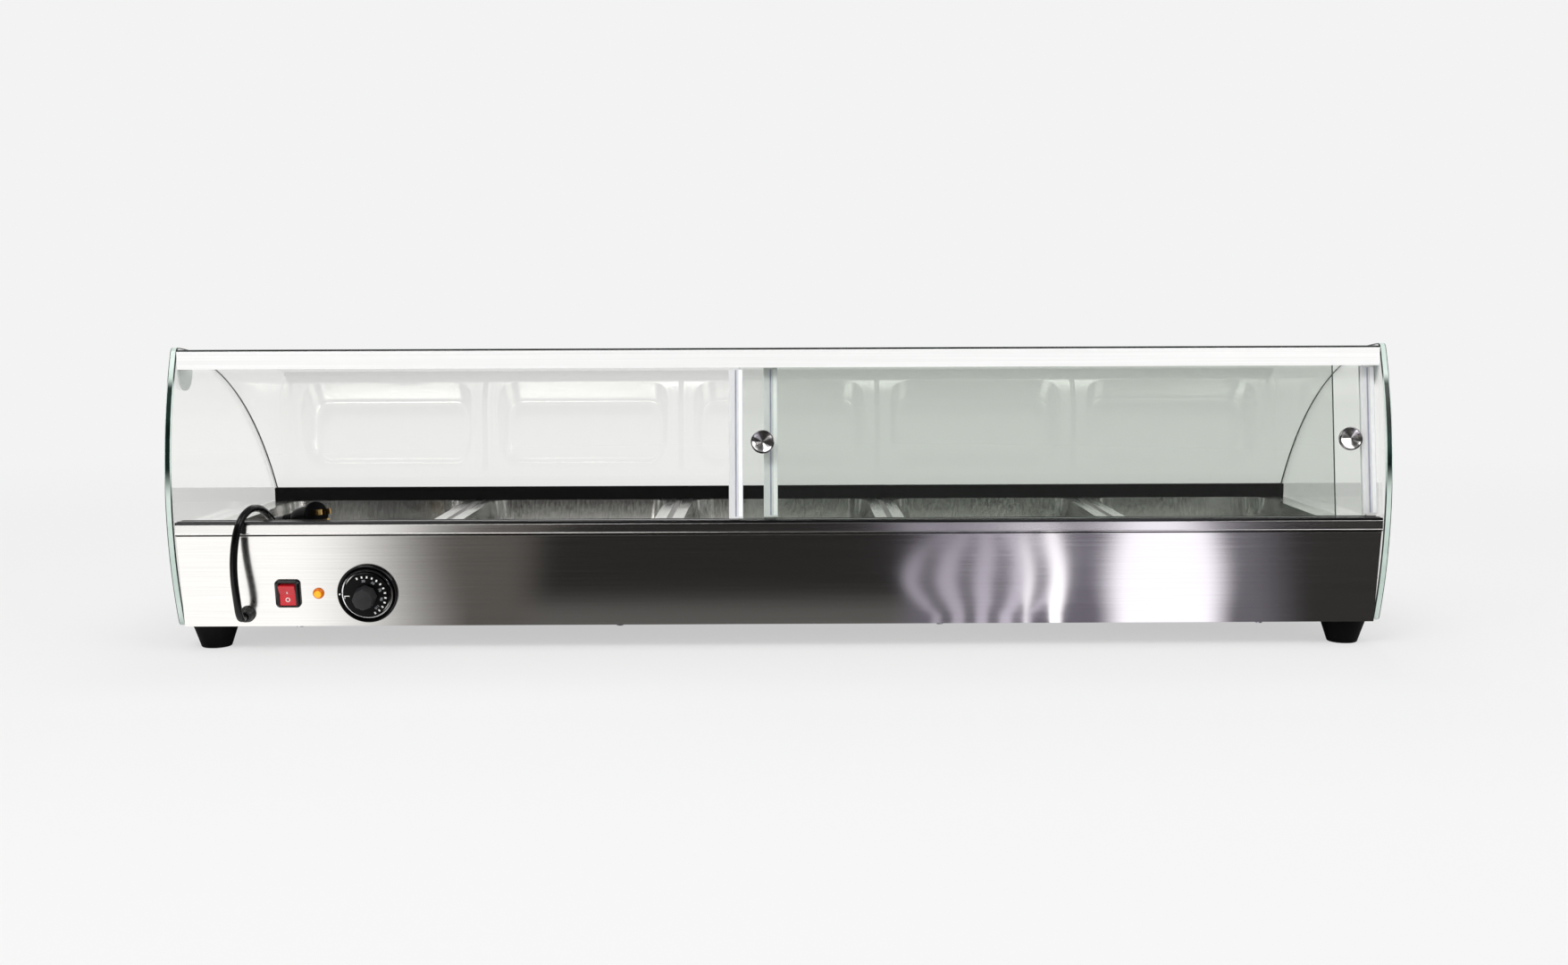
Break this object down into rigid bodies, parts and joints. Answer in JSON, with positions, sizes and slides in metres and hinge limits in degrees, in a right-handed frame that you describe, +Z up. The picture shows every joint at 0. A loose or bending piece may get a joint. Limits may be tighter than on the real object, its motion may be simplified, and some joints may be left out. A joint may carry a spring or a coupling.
{
  "type": "heated display case",
  "caption": "Countertop heated food case: sloped steel base with pans, curved front glass, glass ends, sliding rear doors, thermostat dial, switch, lamp and tied mains lead.",
  "frame": {"origin": "middle of the case's footprint at floor level, measured without the mains lead and plug", "axes": "+X along the case to the operator's right, +Y from the operator to the customer, +Z up"},
  "size_m": [1.4, 0.4192, 0.3507],
  "materials": {
    "stainless": "brushed along its length",
    "pan_steel": "bright pressed",
    "element_steel": "darkened by heat",
    "glass": "clear, green at the edges",
    "clear_plastic": "clear",
    "rail_metal": "satin",
    "bracket_grey": "satin",
    "track_black": "satin",
    "knob_chrome": "turned",
    "bezel_black": "polished, with a bright inner edge",
    "dial_black": "satin with a white scale",
    "switch_black": "satin",
    "rocker_red": "translucent red",
    "lamp_amber": "translucent amber",
    "holder_plastic": "plain",
    "gland_black": "satin",
    "cord_black": "glossy",
    "tie_plastic": "plain",
    "plug_black": "moulded",
    "pin_brass": "bright",
    "tape": "foam",
    "foot_rubber": "matt",
    "fastener_steel": "zinc plated",
    "capillary_copper": "copper"
  },
  "bodies": {
    "case": {"operator_panel": "stainless", "customer_panel": "stainless", "bottom_plate": "stainless", "end_plate_left": "stainless", "end_plate_right": "stainless", "operator_sill": "stainless", "customer_sill": "stainless", "pan_cross_bars": "stainless", "heat_shield": "stainless", "element_brackets": "stainless", "food_pan_1": "pan_steel", "heating_element": "element_steel", "side_glass_left": "glass", "side_glass_right": "glass", "front_glass": "glass", "top_rail": "rail_metal", "rail_bracket_left": "bracket_grey", "rail_bracket_right": "bracket_grey", "lower_door_track": "track_black", "front_glass_channel": "track_black", "dial_bezel": "bezel_black", "switch_housing": "switch_black", "pilot_lens": "lamp_amber", "pilot_holder": "holder_plastic", "terminal_block": "holder_plastic", "thermostat_body": "holder_plastic", "cable_gland": "gland_black", "gland_nut": "gland_black", "cord_lead": "cord_black", "cord_coil": "cord_black", "cord_tail": "cord_black", "cord_tie": "tie_plastic", "plug_body": "plug_black", "plug_pins": "pin_brass", "glass_tape_left": "tape", "glass_tape_right": "tape", "feet": "foot_rubber", "rail_screws": "fastener_steel", "foot_bolts": "fastener_steel", "foot_nuts": "fastener_steel", "base_screws": "fastener_steel", "thermostat_screws": "fastener_steel", "thermostat_capillary": "capillary_copper"},
    "left_door": {"left_door_glass": "glass", "left_door_edge_strip": "clear_plastic", "left_door_knob": "knob_chrome", "left_door_knob_cap": "knob_chrome"},
    "right_door": {"right_door_glass": "glass", "right_door_edge_strips": "clear_plastic", "right_door_knob": "knob_chrome", "right_door_knob_cap": "knob_chrome"},
    "dial": {"dial_knob": "dial_black", "thermostat_shaft": "fastener_steel"},
    "rocker": {"switch_rocker": "rocker_red"},
    "food_pan_2": {"food_pan_2": "pan_steel"},
    "food_pan_3": {"food_pan_3": "pan_steel"},
    "food_pan_4": {"food_pan_4": "pan_steel"},
    "food_pan_5": {"food_pan_5": "pan_steel"}
  },
  "joints": [
    {"name": "left_door_slide", "type": "slide", "parent": "case", "child": "left_door", "axis": [1, 0, 0], "range_m": [-0.535, 0.04]},
    {"name": "right_door_slide", "type": "slide", "parent": "case", "child": "right_door", "axis": [1, 0, 0], "range_m": [-0.57, 0]},
    {"name": "dial_turn", "type": "hinge", "parent": "case", "child": "dial", "pos_m": [-0.476, -0.18131, 0.06703], "axis": [0, -0.9877, -0.1564], "range_deg": [-300, 0]},
    {"name": "rocker_tilt", "type": "hinge", "parent": "case", "child": "rocker", "pos_m": [-0.568, -0.17687, 0.06774], "axis": [1, 0, 0], "range_deg": [-20, 0]},
    {"name": "food_pan_2_lift", "type": "slide", "parent": "case", "child": "food_pan_2", "axis": [0, 0, 1], "range_m": [0, 0.025]},
    {"name": "food_pan_3_lift", "type": "slide", "parent": "case", "child": "food_pan_3", "axis": [0, 0, 1], "range_m": [0, 0.025]},
    {"name": "food_pan_4_lift", "type": "slide", "parent": "case", "child": "food_pan_4", "axis": [0, 0, 1], "range_m": [0, 0.025]},
    {"name": "food_pan_5_lift", "type": "slide", "parent": "case", "child": "food_pan_5", "axis": [0, 0, 1], "range_m": [0, 0.025]}
  ]
}
